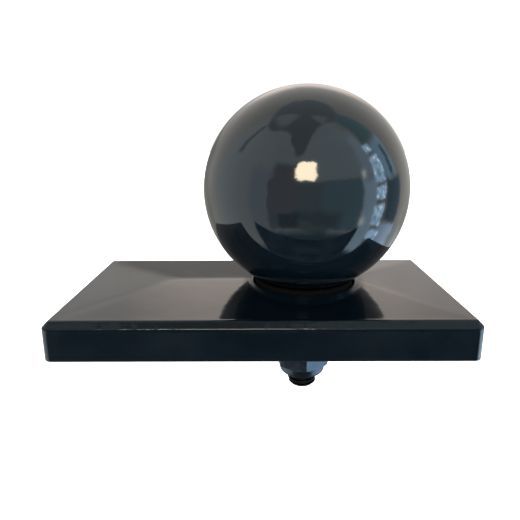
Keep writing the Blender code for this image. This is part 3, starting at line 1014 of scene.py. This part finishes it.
def lay(colour, mask=None):
    """Lays a colour over what is there, where the mask is 1."""
    global state
    if mask is None:
        rgb = wt.nodes.new("ShaderNodeRGB")
        rgb.outputs[0].default_value = (*colour, 1.0)
        state = rgb.outputs[0]
        return
    m = wt.nodes.new("ShaderNodeMix")
    m.data_type = 'RGBA'
    m.clamp_result = False
    wt.links.new(mask.s, m.inputs[0])
    wt.links.new(state, m.inputs[6])
    m.inputs[7].default_value = (*colour, 1.0)
    state = m.outputs[2]


lay((1.05, 1.02, 0.96))                                                       # walls behind
back = az.absolute()
lay((0.78, 0.76, 0.70), step(back, 138.0, 40.0) * (1.0 - step(el, 22.0, 36.0)))
lay((0.33, 0.32, 0.30), step(back, 144.0, 24.0) * (1.0 - step(az, 0.0, 1.0)) * (1.0 - step(el, 13.0, 10.0)))
lay((0.80, 0.77, 0.73), step(back, 144.0, 24.0) * (1.0 - step(az, 0.0, 1.0)) * span(el, 13.0, 38.0, 10.0))
lay((1.14, 1.08, 1.03), step(back, 144.0, 24.0) * (1.0 - step(az, 0.0, 1.0)) * span(el, 22.0, 44.0, 8.0))
lay((0.45, 0.44, 0.40), step(back, 135.0, 30.0) * (1.0 - step(el, -6.0, 16.0)))
lay((0.92, 0.85, 0.80), step(back, 148.0, 16.0) * step(az, 0.0, 1.0) * span(el, 2.0, 36.0, 10.0))
lay((1.72, 1.53, 1.40), step(back, 156.0, 16.0) * step(az, 0.0, 1.0) * span(el, 18.0, 35.0, 9.0))
lay((1.85, 1.64, 1.49), step(back, 166.0, 14.0) * (1.0 - step(az, 0.0, 1.0)) * span(el, 19.0, 35.0, 9.0))
lay((1.18, 1.36, 1.42), span(az, -112.0, 70.0, 30.0))                         # walls on the camera's side
lay((1.30, 1.40, 1.45), span(az, -96.0, -48.0, 8.0) * span(el, -60.0, 50.0, 12.0))
lay((1.02, 1.18, 1.34), span(az, -66.0, -40.0, 9.0) * span(el, -40.0, 25.0, 10.0))
lay((1.20, 1.45, 1.52), span(az, -6.0, 62.0, 10.0) * span(el, 18.0, 62.0, 8.0))
# ceiling, its edge dipping where two walls meet
ceil = 66.0 - 25.0 * bump_at(az, -14.0, 16.0) + 7.0 * bump_at(az, 45.0, 30.0) - 7.0 * bump_at(az, -85.0, 25.0)
ceil_mask = step(el, ceil, 5.0)
lay((0.56, 0.64, 0.66), ceil_mask)
lay((0.95, 1.12, 1.16), span(az, -112.0, -62.0, 14.0) * span(el, 67.0, 84.0, 8.0))
lay((0.95, 1.08, 1.14), span(az, 45.0, 84.0, 14.0) * span(el, 73.0, 84.0, 6.0))
lay((0.62, 0.76, 0.80), span(az, -97.0, -92.0, 3.0) * span(el, 30.0, 58.0, 6.0))
# the camera's own dark block, with things in it
block = span(az, -45.0, 57.0, 3.5) * span(el, -33.0, 14.5, 4.0)
lay((0.54, 0.66, 0.68), block)
lay((0.64, 0.62, 0.66), block * (1.0 - step(az, -14.0, 5.0)))
lay((0.54, 0.84, 0.98), block * step(az, 13.0, 10.0))
lay((0.62, 0.60, 0.62), span(az, -41.0, -14.0, 8.0) * span(el, 8.0, 32.0, 8.0))
lay((0.36, 0.46, 0.50), block * (1.0 - step(el, -16.0, 10.0)) * step(az, -22.0, 8.0) * (1.0 - step(az, 34.0, 12.0)))
lay((0.50, 0.62, 0.56), span(az, -45.0, 22.0, 10.0) * span(el + az * 0.25, -38.0, -27.0, 5.0))
lay((0.26, 0.30, 0.32), span(az, -34.0, -12.0, 8.0) * span(el, -33.0, -18.0, 6.0))
lay((0.20, 0.30, 0.34), span(az, -50.0, 52.0, 14.0) * (1.0 - step(el, -38.0, 10.0)))
lay((0.08, 0.15, 0.19), 1.0 - step(el, -52.0, 16.0))
# window: the panes, the glow beside them, the sill
lay((1.75, 2.45, 3.05), span(az, 57.5, 76.0, 5.0) * span(el, -52.0, 12.0, 8.0))
lay((1.45, 1.85, 2.25), span(az, 60.0, 76.0, 8.0) * span(el, 12.0, 52.0, 14.0))
lay((4.6, 5.0, 4.8), bump_at(az, 60.5, 3.0) * bump_at(el, 17.0, 3.5))
lay((4.2, 4.8, 4.8), bump_at(az, 60.0, 3.5) * bump_at(el, -24.0, 3.5))
lay((0.48, 0.78, 0.84), span(az, 79.0, 106.0, 7.0) * span(el, 38.0, 68.0, 9.0))
lay((1.15, 1.85, 2.45), span(az, 84.0, 106.0, 6.0) * span(el, 6.0, 36.0, 7.0))
lay((0.34, 0.60, 0.70), span(az, 98.0, 103.0, 3.0) * span(el, 8.0, 30.0, 6.0))
lay((0.28, 0.42, 0.52), span(az, 90.0, 113.0, 6.0) * span(el, -22.0, 6.0, 6.0))
lay((1.7, 2.3, 3.1), span(az, 86.0, 122.0, 14.0) * span(el, -37.0, -23.0, 4.0))
lay((0.85, 0.95, 1.0), span(az, 118.0, 150.0, 20.0) * span(el, -32.0, -20.0, 6.0))
leaf = field(15.0, 3.0)
for low, high, left, right in ((31.5, 38.0, 73.5, 84.0), (6.5, 28.0, 74.5, 88.0), (-6.5, 3.5, 75.0, 88.5),
                               (-27.0, -11.0, 73.5, 87.0), (-37.0, -30.5, 76.0, 92.0)):
    hole = span(az, left, right, 3.0) * span(el, low, high, 3.0)
    lay((3.1, 4.7, 6.6), hole)
    lay((7.5, 10.0, 11.0), hole * step(leaf, 0.11, 0.14))
    lay((1.6, 2.7, 3.4), hole * step(leaf, -0.10, 0.12) * -1.0 + hole)
# lamp over the camera
lamp_x = (az_raw + 4.0 + wob2 * 8.0 + wob3 * 5.0) * (1.0 / 12.0)
lamp_y = (el_raw - 25.5 + wob1 * 8.0 + wob3 * 5.0) * (1.0 / 9.0)
lamp_d = lamp_x * lamp_x
lamp_d = lamp_d * lamp_d + lamp_y * lamp_y * lamp_y * lamp_y
lay((25.0, 21.0, 15.5), 1.0 - step(lamp_d, 1.0, 0.9))

bg_room = wt.nodes.new("ShaderNodeBackground")
wt.links.new(state, bg_room.inputs["Color"])
bg_room.inputs["Strength"].default_value = 1.0
bg_white = wt.nodes.new("ShaderNodeBackground")
bg_white.inputs["Color"].default_value = (1.0, 1.0, 1.0, 1.0)
bg_white.inputs["Strength"].default_value = 1.05
path = wt.nodes.new("ShaderNodeLightPath")
mix = wt.nodes.new("ShaderNodeMixShader")
wt.links.new(path.outputs["Is Camera Ray"], mix.inputs["Fac"])
wt.links.new(bg_room.outputs[0], mix.inputs[1])
wt.links.new(bg_white.outputs[0], mix.inputs[2])
out_node = wt.nodes.new("ShaderNodeOutputWorld")
wt.links.new(mix.outputs[0], out_node.inputs["Surface"])
world.cycles.sampling_method = 'MANUAL'
world.cycles.sample_map_resolution = 1024

bpy.context.scene.view_settings.view_transform = 'Standard'
bpy.context.scene.view_settings.look = 'None'
